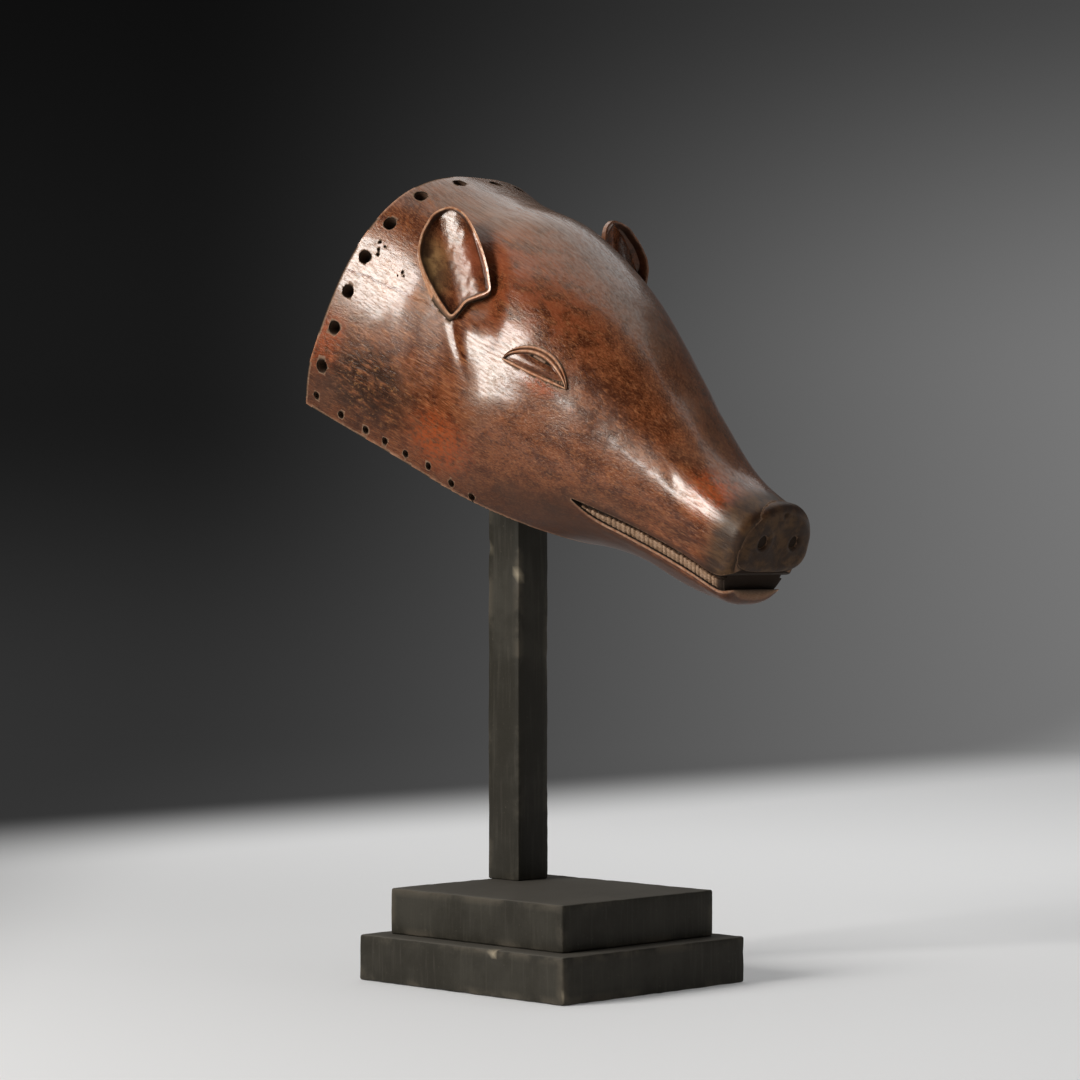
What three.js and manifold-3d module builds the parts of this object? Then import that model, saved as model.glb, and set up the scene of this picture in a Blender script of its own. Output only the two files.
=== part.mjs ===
import * as THREE from 'three'
import { mergeVertices } from 'three/addons/utils/BufferGeometryUtils.js'
import Module from 'manifold-3d'

// A carved wooden mask, a pig's head worn over the wearer's own, on its stand.
// Millimetres, +Z up, +X the way the mask faces.
// The origin is the middle of the base's underside.

// Base and post
const lowerLength = 180
const lowerWidth = 162
const lowerHeight = 29
const upperInset = 14
const upperHeight = 29
const postDepth = 28
const postWidth = 27
const postSetOff = 32
const postClearance = 0.5

// Head, in its own frame: x from the rear rim to the snout, z up from the rim's plane
const headLength = 335
const headHeight = 170
const headWidth = 191
const wall = 9
const nosePitch = 26
const rimLift = 307
const rimBehindPost = 94

// Holes that the costume was laced to
const largeHoleDiameter = 8
const largeHoleInset = 9.5
const largeHoleLift = 30
const largeHoleCount = 15
const smallHoleDiameter = 4.5
const smallHoleInset = 9
const smallHoleLift = 6
const smallHoleCount = 8

// Snout, mouth, eyes and ears
const snoutDepth = 15
const snoutDrift = 3.5
const nostrilDiameter = 9
const nostrilSpacing = 28
const nostrilDepth = 8
const mouthDepth = 4.5
const eyeRelief = 2.2
const eyeEdge = 1.2
const earLength = 73
const earDish = 4
const earCurl = 5
const earThickness = 6
const earBossDepth = 14

// Sections of the head at shares of its length. Heights are shares of headHeight and
// half widths shares of headWidth; round is how square each half of the section is.
const sections = [
  { at: 0.00, top: 0.968, widest: 0.195, under: -0.470, half: 0.500, roundTop: 2.72, roundLow: 1.60 },
  { at: 0.12, top: 0.976, widest: 0.240, under: -0.440, half: 0.455, roundTop: 2.26, roundLow: 1.95 },
  { at: 0.27, top: 0.997, widest: 0.288, under: -0.400, half: 0.420, roundTop: 2.17, roundLow: 2.07 },
  { at: 0.42, top: 0.926, widest: 0.288, under: -0.242, half: 0.396, roundTop: 2.25, roundLow: 2.29 },
  { at: 0.57, top: 0.809, widest: 0.285, under: -0.047, half: 0.320, roundTop: 2.26, roundLow: 2.38 },
  { at: 0.72, top: 0.658, widest: 0.330, under: 0.047, half: 0.236, roundTop: 2.23, roundLow: 2.10 },
  { at: 0.87, top: 0.529, widest: 0.359, under: 0.060, half: 0.178, roundTop: 2.21, roundLow: 2.10 },
  { at: 1.00, top: 0.495, widest: 0.355, under: 0.113, half: 0.160, roundTop: 2.17, roundLow: 2.80 }
]

const wasm = await Module()
wasm.setup()

// Value of one section property at x, on a smooth curve through the sections
function along (key, x) {
  const share = THREE.MathUtils.clamp(x / headLength, 0, 1)
  let i = 0
  while (i < sections.length - 2 && sections[i + 1].at < share) i++
  const slope = j => (sections[j + 1][key] - sections[j][key]) / (sections[j + 1].at - sections[j].at)
  const step = j => sections[j + 1].at - sections[j].at
  const bend = j => {
    if (j === 0) return slope(0)
    if (j === sections.length - 1) return slope(j - 1)
    return (slope(j - 1) * step(j) + slope(j) * step(j - 1)) / (step(j - 1) + step(j))
  }
  const width = step(i)
  const t = (share - sections[i].at) / width
  const start = sections[i][key] * (2 * t ** 3 - 3 * t ** 2 + 1)
  const end = sections[i + 1][key] * (3 * t ** 2 - 2 * t ** 3)
  const startBend = bend(i) * width * (t ** 3 - 2 * t ** 2 + t)
  const endBend = bend(i + 1) * width * (t ** 3 - t ** 2)
  return start + end + startBend + endBend
}

// The head's section at x, drawn in by inset all round
function sectionAt (x, inset = 0) {
  return {
    top: along('top', x) * headHeight - inset,
    widest: along('widest', x) * headHeight,
    under: along('under', x) * headHeight + inset,
    half: along('half', x) * headWidth - inset,
    roundTop: along('roundTop', x),
    roundLow: along('roundLow', x)
  }
}

// Relief of the head's sides: a swelling below each ear that runs on to the eye, and a
// trough along the ear's front edge. Each is a soft mound of its own length and width.
const mounds = [
  { x: 0.335, z: 0.520, long: 0.085, wide: 0.055, tilt: 10, rise: 6 },
  { x: 0.278, z: 0.740, long: 0.082, wide: 0.034, tilt: -44, rise: -11 }
]
function relief (x, z) {
  let sum = 0
  for (const mound of mounds) {
    const tilt = THREE.MathUtils.degToRad(mound.tilt)
    const dx = x - mound.x * headLength
    const dz = z - mound.z * headHeight
    const u = (dx * Math.cos(tilt) + dz * Math.sin(tilt)) / (mound.long * headLength)
    const v = (dz * Math.cos(tilt) - dx * Math.sin(tilt)) / (mound.wide * headLength)
    sum += mound.rise * Math.exp(-u * u - v * v)
  }
  return sum
}

// Point on the section at x; angle runs from the crown (0) down the far side to the
// underside (PI) and down the near side as negative angles
function skin (x, angle, inset = 0, scale = 1) {
  const s = sectionAt(x, inset)
  const upper = Math.abs(angle) <= Math.PI / 2
  const power = 2 / (upper ? s.roundTop : s.roundLow)
  const out = Math.pow(Math.abs(Math.sin(angle)), power) * Math.sign(angle)
  const rise = Math.pow(Math.abs(Math.cos(angle)), power)
  const z = upper ? s.widest + (s.top - s.widest) * rise : s.widest - (s.widest - s.under) * rise
  const y = (s.half + relief(x, z)) * out
  const middle = (s.top + s.under) / 2
  return new THREE.Vector3(x, y * scale, middle + (z - middle) * scale)
}

// Half width of the head at x and height z
function halfWidthAt (x, z) {
  const s = sectionAt(x)
  const above = z >= s.widest
  const reach = above ? s.top - s.widest : s.widest - s.under
  const round = above ? s.roundTop : s.roundLow
  const share = Math.min(1, Math.abs(z - s.widest) / reach)
  const out = Math.pow(1 - Math.pow(share, round), 1 / round)
  return (s.half + relief(x, z)) * out
}

// Outward direction of the head's side at x and z, on the side given by sign
function sideNormal (x, z, side) {
  const step = 2
  const dx = (halfWidthAt(x + step, z) - halfWidthAt(x - step, z)) / (2 * step)
  const dz = (halfWidthAt(x, z + step) - halfWidthAt(x, z - step)) / (2 * step)
  return new THREE.Vector3(-dx, side, -dz).normalize()
}

function toSolid (geometry) {
  const bare = geometry.clone()
  bare.deleteAttribute('normal')
  bare.deleteAttribute('uv')
  const merged = mergeVertices(bare, 1e-4)
  return new wasm.Manifold(new wasm.Mesh({
    numProp: 3,
    vertProperties: new Float32Array(merged.attributes.position.array),
    triVerts: new Uint32Array(merged.index.array)
  }))
}

function toGeometry (solid) {
  const mesh = solid.getMesh()
  const geometry = new THREE.BufferGeometry()
  geometry.setAttribute('position', new THREE.BufferAttribute(new Float32Array(mesh.vertProperties), 3))
  geometry.setIndex(new THREE.BufferAttribute(new Uint32Array(mesh.triVerts), 1))
  return geometry
}

// Closed skin over rings that have the same number of points, each end closed by a fan.
// The rings run counter-clockwise as seen from the end that they run towards.
function loft (rings) {
  const count = rings[0].length
  const points = rings.flat()
  const faces = []
  for (let i = 0; i + 1 < rings.length; i++) {
    for (let j = 0; j < count; j++) {
      const k = (j + 1) % count
      const a = i * count + j
      const b = i * count + k
      faces.push(a, b, b + count, a, b + count, a + count)
    }
  }
  const endMiddle = ring => ring.reduce((sum, p) => sum.add(p), new THREE.Vector3()).divideScalar(count)
  points.push(endMiddle(rings[0]), endMiddle(rings[rings.length - 1]))
  const last = (rings.length - 1) * count
  for (let j = 0; j < count; j++) {
    const k = (j + 1) % count
    faces.push(k, j, points.length - 2)
    faces.push(last + j, last + k, points.length - 1)
  }
  const geometry = new THREE.BufferGeometry().setFromPoints(points)
  geometry.setIndex(faces)
  return geometry
}

// Ring of the head's section at x, counter-clockwise as seen from the snout
function headRing (x, count, inset = 0, scale = 1) {
  const ring = []
  for (let j = 0; j < count; j++) {
    const angle = Math.PI * (1 - 2 * (j + 0.5) / count)
    ring.push(skin(x, angle, inset, scale))
  }
  return ring
}

const jawEnd = 0.993 * headLength
const jawRounding = 7
const pastRim = 8

// Outer body of the head, run on behind the rear rim so that the rim is cut flat
function outerBody () {
  const rings = []
  const ringCount = 32
  const around = 46
  for (let i = 0; i <= ringCount; i++) {
    const x = -pastRim + (jawEnd - jawRounding + pastRim) * i / ringCount
    rings.push(headRing(x, around))
  }
  for (let i = 1; i <= 4; i++) {
    const turn = i / 4 * 0.48 * Math.PI
    const x = jawEnd - jawRounding + jawRounding * Math.sin(turn)
    const shrink = 1 - 0.13 * (1 - Math.cos(turn))
    rings.push(headRing(x, around, 0, shrink))
  }
  return toSolid(loft(rings))
}

// Hollow that the wearer's head went into, with a rounded end in the muzzle
const hollowStraight = 0.46 * headLength
const hollowEnd = 0.64 * headLength
function hollow () {
  const rings = []
  const ringCount = 12
  const around = 32
  for (let i = 0; i <= ringCount; i++) {
    const x = -2 * pastRim + (hollowStraight + 2 * pastRim) * i / ringCount
    rings.push(headRing(x, around, wall))
  }
  const domeRings = 6
  for (let i = 1; i <= domeRings; i++) {
    const turn = i / domeRings * 0.47 * Math.PI
    const x = hollowStraight + (hollowEnd - hollowStraight) * Math.sin(turn)
    rings.push(headRing(x, around, wall, Math.cos(turn)))
  }
  return toSolid(loft(rings))
}

// Ground that the rims are cut off by: behind the rear rim and under the lower rim
function rimCutter () {
  const reach = 2 * headLength
  const rear = new THREE.BoxGeometry(reach, reach, reach)
  rear.translate(-reach / 2, 0, 0)
  const under = new THREE.BoxGeometry(reach, reach, reach)
  under.translate(0, 0, -reach / 2)
  return toSolid(rear).add(toSolid(under))
}

// Round bore along direction, centred on a point of the skin
function bore (point, direction, diameter, depth, sides) {
  const geometry = new THREE.CylinderGeometry(diameter / 2, diameter / 2, 2 * depth, sides)
  const turn = new THREE.Quaternion().setFromUnitVectors(new THREE.Vector3(0, 1, 0), direction)
  geometry.applyQuaternion(turn)
  geometry.translate(point.x, point.y, point.z)
  return toSolid(geometry)
}

// Large holes round the rear rim, evenly spread from side to side over the crown
function largeHoles () {
  const steps = 240
  const arc = [{ length: 0, angle: 0 }]
  let before = skin(largeHoleInset, 0)
  for (let i = 1; i <= steps; i++) {
    const angle = Math.PI * i / steps
    const point = skin(largeHoleInset, angle)
    if (point.z < largeHoleLift) break
    arc.push({ length: arc[i - 1].length + point.distanceTo(before), angle })
    before = point
  }
  const whole = arc[arc.length - 1].length
  const cutters = []
  for (let i = 0; i < largeHoleCount; i++) {
    const share = 2 * i / (largeHoleCount - 1) - 1
    const place = arc.find(step => step.length >= Math.abs(share) * whole - 1e-6)
    const angle = place.angle * Math.sign(share)
    const point = skin(largeHoleInset, angle)
    const ahead = skin(largeHoleInset, angle + 0.02)
    const across = new THREE.Vector3(0, ahead.y - point.y, ahead.z - point.z)
    const outward = new THREE.Vector3(0, -across.z, across.y).normalize()
    cutters.push(bore(point, outward, largeHoleDiameter, 1.8 * wall, 12))
  }
  return cutters
}

// Small holes along the lower rim on both sides, up to the throat
function smallHoles () {
  const lastHoleX = 0.44 * headLength
  const cutters = []
  for (const side of [-1, 1]) {
    for (let i = 0; i < smallHoleCount; i++) {
      const x = smallHoleInset + (lastHoleX - smallHoleInset) * i / (smallHoleCount - 1)
      const point = new THREE.Vector3(x, side * halfWidthAt(x, smallHoleLift), smallHoleLift)
      const outward = new THREE.Vector3(0, side, 0)
      cutters.push(bore(point, outward, smallHoleDiameter, 2.2 * wall, 8))
    }
  }
  return cutters
}

// Heights of the two lips over the head's length
const mouthCorner = 0.638 * headLength
function upperLip (x) {
  const share = THREE.MathUtils.clamp((x - mouthCorner) / (jawEnd - mouthCorner), 0, 1)
  return headHeight * (0.200 + 0.010 * Math.sin(Math.PI * share) + 0.045 * share ** 20)
}
function lowerLip (x) {
  const share = THREE.MathUtils.clamp((x - mouthCorner) / (jawEnd - mouthCorner), 0, 1)
  return headHeight * (0.196 - 0.037 * Math.tanh(9 * share) - 0.012 * share ** 6 + 0.034 * share ** 24)
}

// The parted mouth: the space between the lips, less a core that stays behind the teeth
function mouth () {
  const steps = 14
  const front = headLength + 10
  const rings = []
  for (let i = 0; i <= steps; i++) {
    const x = mouthCorner + (front - mouthCorner) * i / steps
    const reach = 0.4 * headWidth
    rings.push([
      new THREE.Vector3(x, -reach, lowerLip(x)),
      new THREE.Vector3(x, reach, lowerLip(x)),
      new THREE.Vector3(x, reach, upperLip(x) + 0.2),
      new THREE.Vector3(x, -reach, upperLip(x) + 0.2)
    ])
  }
  const gap = toSolid(loft(rings))
  const coreRings = []
  for (let i = 0; i <= steps; i++) {
    const x = mouthCorner - 20 + (jawEnd - mouthDepth - mouthCorner + 20) * i / steps
    coreRings.push(headRing(x, 24, mouthDepth))
  }
  return gap.subtract(toSolid(loft(coreRings)))
}

// Flat disc that ends the snout, an oval that is wider and squarer below, with a rounded
// edge and a slight waist behind it. The carver set it a little to the far side.
function snoutDisc () {
  const halfHeight = 0.135 * headHeight
  const halfWidth = 0.164 * headWidth
  const middle = 0.374 * headHeight
  const narrowing = 0.18
  const edge = 5
  const outline = [
    { back: snoutDepth, size: 0.91 },
    { back: 0.6 * snoutDepth, size: 0.98 },
    { back: edge, size: 1 },
    { back: 0.3 * edge, size: 1 - 0.3 * edge / halfHeight },
    { back: 0, size: 1 - edge / halfHeight }
  ]
  const around = 32
  const rings = outline.map(({ back, size }) => {
    const ring = []
    for (let j = 0; j < around; j++) {
      const angle = 2 * Math.PI * j / around
      const c = Math.cos(angle)
      const s = Math.sin(angle)
      const power = s < 0 ? 0.6 : 0.85
      const up = Math.sign(s) * Math.abs(s) ** power
      const y = halfWidth * size * Math.sign(c) * Math.abs(c) ** power * (1 - narrowing * up)
      ring.push(new THREE.Vector3(headLength - back, snoutDrift + y, middle + halfHeight * size * up))
    }
    return ring
  })
  let disc = toSolid(loft(rings))
  for (const side of [-1, 1]) {
    const point = new THREE.Vector3(headLength, snoutDrift + side * nostrilSpacing / 2, middle - 1)
    disc = disc.subtract(bore(point, new THREE.Vector3(1, 0, 0), nostrilDiameter, nostrilDepth, 14))
  }
  return disc
}

// Half-moon eye that stands off the head's side. Its lower line is nearly level, the arch
// over it is fullest behind its middle, and its face rises from eyeEdge to eyeRelief.
const eyeX = 0.486 * headLength
const eyeLowerZ = 0.556 * headHeight
const eyeHalfLength = 0.067 * headLength
const eyeHeight = 0.090 * headHeight
function eyeArch (u) {
  const peak = -0.15
  const share = (u - peak) / (u < peak ? 1 + peak : 1 - peak)
  return Math.pow(1 - share * share, u < peak ? 0.5 : 0.8)
}
function eye (side) {
  const columns = 14
  const rows = 4
  const sink = 3
  const rings = []
  const place = (x, z, height) => {
    const skinPoint = new THREE.Vector3(x, side * halfWidthAt(x, z), z)
    return skinPoint.addScaledVector(sideNormal(x, z, side), height)
  }
  for (let i = 0; i <= columns; i++) {
    const u = -0.98 + 1.96 * i / columns
    const x = eyeX + u * eyeHalfLength
    const upper = eyeLowerZ + eyeHeight * eyeArch(u)
    const lower = eyeLowerZ - 0.05 * eyeHeight * (1 - u * u)
    const ring = []
    for (let j = 0; j <= rows; j++) {
      const v = j / rows
      const dome = (1 - (2 * v - 1) ** 2) * (1 - u * u)
      ring.push(place(x, lower + (upper - lower) * v, eyeEdge + (eyeRelief - eyeEdge) * dome))
    }
    for (let j = rows; j >= 0; j--) {
      ring.push(place(x, lower + (upper - lower) * j / rows, -sink))
    }
    rings.push(side < 0 ? ring.reverse() : ring)
  }
  return toSolid(loft(rings))
}

// Outline of an ear in shares of its half width and half length, from the tip round the
// side towards the crown, the corner and the notched foot, and up the outer side
const earOutline = [
  [0.00, 1.00], [0.29, 0.95], [0.54, 0.80], [0.78, 0.50], [0.95, 0.18], [1.07, -0.15],
  [1.13, -0.45], [1.10, -0.64], [0.72, -0.71], [0.42, -0.77], [0.18, -0.93], [-0.06, -1.01],
  [-0.33, -0.80], [-0.62, -0.47], [-0.86, -0.12], [-0.95, 0.17], [-0.86, 0.46], [-0.68, 0.69],
  [-0.42, 0.90]
]

// The two ears aren't alike: the near one is narrower, faces outwards and leans in at its
// tip. How far the tip and the root are set in is level and towards the head's rear middle.
const ears = [
  { side: -1, width: 43, turnOut: 42, tipSetIn: 14, rootSetIn: 3 },
  { side: 1, width: 50, turnOut: 5, tipSetIn: 2.5, rootSetIn: 2.5 }
]

// Ear, a leaf cut off at its foot, rolled and dished in front, with a boss behind its foot.
// Its own frame has x across, y up to the tip and z the way it faces.
function ear ({ side, width, turnOut, tipSetIn, rootSetIn }) {
  const ringsAcross = 5
  const around = 34
  const halfLength = earLength / 2
  const halfWidth = width / 2
  const corners = earOutline.map(([across, up]) => new THREE.Vector3(-side * across * halfWidth, up * halfLength, 0))
  const edge = new THREE.CatmullRomCurve3(corners, true, 'catmullrom', 0.5).getPoints(around)
  edge.pop()
  if (side < 0) edge.reverse()
  const front = []
  const back = []
  for (let i = 0; i <= ringsAcross; i++) {
    const share = (i + 0.15) / (ringsAcross + 0.15)
    const frontRing = []
    const backRing = []
    for (const corner of edge) {
      const across = corner.x * share
      const up = corner.y * share
      const face = earCurl * (across / halfWidth) ** 2 - earDish * (1 - share ** 2)
      const boss = earBossDepth * THREE.MathUtils.smoothstep(-up, -0.3 * halfLength, 0.7 * halfLength)
      frontRing.push(new THREE.Vector3(across, up, face))
      backRing.push(new THREE.Vector3(across, up, face - earThickness * (1 - 0.5 * share ** 3) - boss))
    }
    front.push(frontRing)
    back.push(backRing)
  }
  const leaf = loft([...back, ...front.reverse()])
  const pitch = THREE.MathUtils.degToRad(nosePitch)
  const setIn = new THREE.Vector3(-Math.cos(pitch), -side, -Math.sin(pitch)).normalize()
  const tip = new THREE.Vector3(0.173 * headLength, side * 0.408 * headWidth, 0.965 * headHeight)
  const root = new THREE.Vector3(0.292 * headLength, side * 0.429 * headWidth, 0.6 * headHeight)
  tip.addScaledVector(setIn, tipSetIn)
  root.addScaledVector(setIn, rootSetIn)
  const upward = tip.clone().sub(root).normalize()
  const turn = THREE.MathUtils.degToRad(turnOut)
  const facing = new THREE.Vector3(Math.cos(turn) * Math.cos(pitch), side * Math.sin(turn), Math.cos(turn) * Math.sin(pitch))
  facing.addScaledVector(upward, -facing.dot(upward)).normalize()
  const across = new THREE.Vector3().crossVectors(upward, facing)
  const frame = new THREE.Matrix4().makeBasis(across, upward, facing)
  frame.setPosition(tip.clone().addScaledVector(upward, -halfLength))
  leaf.applyMatrix4(frame)
  return toSolid(leaf)
}

// The whole mask, one piece of wood, in the head's own frame
function maskGeometry () {
  let solid = outerBody()
  solid = solid.subtract(mouth())
  solid = solid.add(snoutDisc())
  for (const place of ears) {
    solid = solid.add(ear(place))
    solid = solid.add(eye(place.side))
  }
  solid = solid.subtract(hollow())
  solid = solid.subtract(rimCutter())
  for (const cutter of [...largeHoles(), ...smallHoles()]) {
    solid = solid.subtract(cutter)
  }
  return toGeometry(solid)
}

const maskWood = new THREE.MeshStandardMaterial({ color: 0x6b4030, roughness: 0.35, metalness: 0 })
const blackPaint = new THREE.MeshStandardMaterial({ color: 0x22211d, roughness: 0.6, metalness: 0 })

const pitch = THREE.MathUtils.degToRad(nosePitch)
const upperLength = lowerLength - 2 * upperInset
const upperWidth = lowerWidth - 2 * upperInset
const baseTop = lowerHeight + upperHeight
const postX = -upperLength / 2 + postDepth / 2
const headX = postX - postDepth / 2 - rimBehindPost
const headZ = baseTop + rimLift

const mask = new THREE.Mesh(maskGeometry(), maskWood)
mask.name = 'mask'
mask.position.set(headX, postSetOff, headZ)
mask.rotation.y = pitch

// Height in the world of the plane at height z in the head's frame, above world x
function headPlaneHeight (worldX, z) {
  const x = (worldX - headX - z * Math.sin(pitch)) / Math.cos(pitch)
  return headZ - x * Math.sin(pitch) + z * Math.cos(pitch)
}

// Post, its top cut to the slope of the crown that it carries
function postGeometry () {
  const rearX = postX - postDepth / 2
  const frontX = postX + postDepth / 2
  let ceiling = headHeight
  for (const worldX of [rearX, postX, frontX]) {
    const x = (worldX - headX - headHeight * Math.sin(pitch)) / Math.cos(pitch)
    const s = sectionAt(x, wall)
    const out = postWidth / 2 / s.half
    const height = s.widest + (s.top - s.widest) * (1 - out ** s.roundTop) ** (1 / s.roundTop)
    ceiling = Math.min(ceiling, height)
  }
  ceiling -= postClearance
  const outline = new THREE.Shape()
  outline.moveTo(rearX, baseTop)
  outline.lineTo(frontX, baseTop)
  outline.lineTo(frontX, headPlaneHeight(frontX, ceiling))
  outline.lineTo(rearX, headPlaneHeight(rearX, ceiling))
  outline.closePath()
  const geometry = new THREE.ExtrudeGeometry(outline, { depth: postWidth, bevelEnabled: false })
  geometry.rotateX(Math.PI / 2)
  geometry.translate(0, postSetOff + postWidth / 2, 0)
  return geometry
}

const post = new THREE.Mesh(postGeometry(), blackPaint)
post.name = 'post'

const upperBlock = new THREE.Mesh(new THREE.BoxGeometry(upperLength, upperWidth, upperHeight), blackPaint)
upperBlock.name = 'upper_block'
upperBlock.position.z = lowerHeight + upperHeight / 2

const lowerBlock = new THREE.Mesh(new THREE.BoxGeometry(lowerLength, lowerWidth, lowerHeight), blackPaint)
lowerBlock.name = 'lower_block'
lowerBlock.position.z = lowerHeight / 2

const group = new THREE.Group()
group.add(mask, post, upperBlock, lowerBlock)
export default group
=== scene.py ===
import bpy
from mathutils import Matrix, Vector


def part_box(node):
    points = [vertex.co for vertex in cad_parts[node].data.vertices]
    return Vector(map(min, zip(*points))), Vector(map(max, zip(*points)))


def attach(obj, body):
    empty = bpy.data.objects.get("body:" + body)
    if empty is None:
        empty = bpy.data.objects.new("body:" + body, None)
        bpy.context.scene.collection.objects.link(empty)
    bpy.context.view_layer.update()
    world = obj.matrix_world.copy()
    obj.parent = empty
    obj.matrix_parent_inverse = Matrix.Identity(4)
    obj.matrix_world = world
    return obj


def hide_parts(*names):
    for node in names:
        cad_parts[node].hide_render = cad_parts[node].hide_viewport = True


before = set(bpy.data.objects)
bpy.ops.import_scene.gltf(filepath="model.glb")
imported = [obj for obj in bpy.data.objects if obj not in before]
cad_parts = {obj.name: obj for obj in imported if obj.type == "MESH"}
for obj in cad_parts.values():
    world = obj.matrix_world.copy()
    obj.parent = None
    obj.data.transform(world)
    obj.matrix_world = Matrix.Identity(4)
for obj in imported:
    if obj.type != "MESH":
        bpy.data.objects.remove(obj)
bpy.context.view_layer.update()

import math

import bmesh
import bpy
import numpy as np
from mathutils import Vector

# A carved wooden pig's head, worn as a mask, on a square post and a stepped base.
# The head is shaped in millimetres in its own frame, x from the rear rim to the snout and
# z up from the lower rim's plane, and is placed in metres. The stand is in metres throughout.
MM = 0.001
HEAD_LENGTH = 335
HEAD_HEIGHT = 170
HEAD_WIDTH = 191
WALL = 9
NOSE_PITCH = math.radians(26)
PITCH_COS = math.cos(NOSE_PITCH)
PITCH_SIN = math.sin(NOSE_PITCH)
REAR_RIM_BEHIND_POST = 94
RIM_ABOVE_BASE = 307

post_low, post_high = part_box("post")
base_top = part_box("upper_block")[1].z
HEAD_PLACE = Vector((post_low.x - REAR_RIM_BEHIND_POST * MM,
                     (post_low.y + post_high.y) / 2,
                     base_top + RIM_ABOVE_BASE * MM))

# Sections of the head at shares of its length. Heights are shares of the head's height
# and half widths shares of its width; round is how square each half of the section is.
SHARES = (0.00, 0.12, 0.27, 0.42, 0.57, 0.72, 0.87, 1.00)
PROFILE = {
    "top": (0.968, 0.976, 0.997, 0.926, 0.809, 0.658, 0.529, 0.495),
    "widest": (0.195, 0.240, 0.288, 0.288, 0.285, 0.330, 0.359, 0.355),
    "under": (-0.470, -0.440, -0.400, -0.242, -0.047, 0.047, 0.060, 0.113),
    "half": (0.500, 0.455, 0.420, 0.396, 0.320, 0.236, 0.178, 0.160),
    "round_top": (2.72, 2.26, 2.17, 2.25, 2.26, 2.23, 2.21, 2.17),
    "round_low": (1.60, 1.95, 2.07, 2.29, 2.38, 2.10, 2.10, 2.80),
}

# Soft mounds of the head's sides: place in shares of the length and the height, then
# length and width in shares of the length, tilt in degrees and rise in millimetres.
# The fine ones shape only the outer skin.
MOUNDS = (
    (0.335, 0.520, 0.085, 0.055, 10, 6),
    (0.278, 0.740, 0.082, 0.034, -44, -11),
)
FINE_MOUNDS = (
    (0.335, 0.520, 0.085, 0.055, 10, -5.2),
    (0.400, 0.330, 0.110, 0.070, 8, 1.8),
    (0.322, 0.600, 0.042, 0.032, -50, 2.6),
    (0.300, 0.530, 0.050, 0.008, -40, -1.3),
    (0.500, 0.470, 0.090, 0.035, -12, -0.8),
    (0.705, 0.580, 0.020, 0.011, 60, -0.4),
    (0.812, 0.435, 0.030, 0.009, -30, -0.4),
    (0.865, 0.400, 0.022, 0.009, -30, -0.3),
)

JAW_END = 0.993 * HEAD_LENGTH
JAW_ROUNDING = 7
MOUTH_CORNER = 0.638 * HEAD_LENGTH
MOUTH_DEPTH = 4.5
TOOTH_PITCH = 3.4
TOOTH_SET_BACK = 2.0
TEETH_BELOW_LIP = 2.4
TOOTH_LEVELS = 22
TOOTH_GAP_HEIGHT = 1.1
TOOTH_GAP_DEPTH = 0.45
TOOTH_GAP_SHADE = 0.3
HOLLOW_STRAIGHT = 0.46 * HEAD_LENGTH
HOLLOW_END = 0.64 * HEAD_LENGTH
PAST_RIM = 8

RING_POINTS = 240
HOLLOW_RING_POINTS = 120
JAW_STEPS = 8
JAW_HALF_TURNS = 0.48
JAW_NARROWING = 0.13
DOME_STEPS = 16
DOME_HALF_TURNS = 0.47
UNEVENNESS = 0.16
TOOL_MARKS = 0.035
ADZE_DEPTH = 0.8
ADZE_SET_BACK = 0.35
LIP_RISE = 0.7
LIP_EDGE_RISE = 0.6
LIP_GROOVE = 0.5

DISC_HALF_HEIGHT = 0.135 * HEAD_HEIGHT
DISC_HALF_WIDTH = 0.164 * HEAD_WIDTH
DISC_MIDDLE = 0.374 * HEAD_HEIGHT
DISC_DRIFT = 3.5
DISC_NARROWING = 0.18
DISC_DEPTH = 15
DISC_EDGE = 6.5
DISC_SET_BACK = 0.2
NOSTRIL_SPACING = 28
NOSTRIL_HALF_WIDTH = 4.4
NOSTRIL_HALF_HEIGHT = 5.0

EYE_X = 0.486 * HEAD_LENGTH
EYE_LOWER_Z = 0.556 * HEAD_HEIGHT
EYE_HALF_LENGTH = 0.067 * HEAD_LENGTH
EYE_HEIGHT = 0.090 * HEAD_HEIGHT

EAR_LENGTH = 73
EAR_DISH = 4
EAR_CURL = 5
EAR_THICKNESS = 6
EAR_BOSS_DEPTH = 14
EAR_FLOOR_DEPTH = 4.4
EAR_FLOOR_SLOPE = 0.05
EAR_FLOOR_RISE = 6.6
EAR_RIDGE = 1.4
EAR_TIP = (0.173 * HEAD_LENGTH, 0.408 * HEAD_WIDTH, 0.965 * HEAD_HEIGHT)
EAR_ROOT = (0.292 * HEAD_LENGTH, 0.429 * HEAD_WIDTH, 0.6 * HEAD_HEIGHT)
NEAR, FAR = -1, 1
EARS = {
    NEAR: {"width": 43, "turn_out": 42, "tip_set_in": 14, "root_set_in": 3,
           "outer_curl": 1, "rubbed": 0.9},
    FAR: {"width": 50, "turn_out": 5, "tip_set_in": 2.5, "root_set_in": 2.5,
          "outer_curl": 5, "rubbed": 0.2},
}
NOSTRIL_DEPTHS = {NEAR: 5.0, FAR: 3.4}

# Outline of an ear in shares of its half width and half length, from the tip round the
# side towards the crown, the corner and the notched foot, and up the outer side
EAR_OUTLINE = (
    (0.00, 1.00), (0.29, 0.95), (0.54, 0.80), (0.78, 0.50), (0.95, 0.18), (1.07, -0.15),
    (1.13, -0.45), (1.10, -0.64), (0.72, -0.71), (0.42, -0.77), (0.18, -0.93), (-0.06, -1.01),
    (-0.33, -0.80), (-0.62, -0.47), (-0.86, -0.12), (-0.95, 0.17), (-0.86, 0.46), (-0.68, 0.69),
    (-0.42, 0.90),
)

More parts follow.
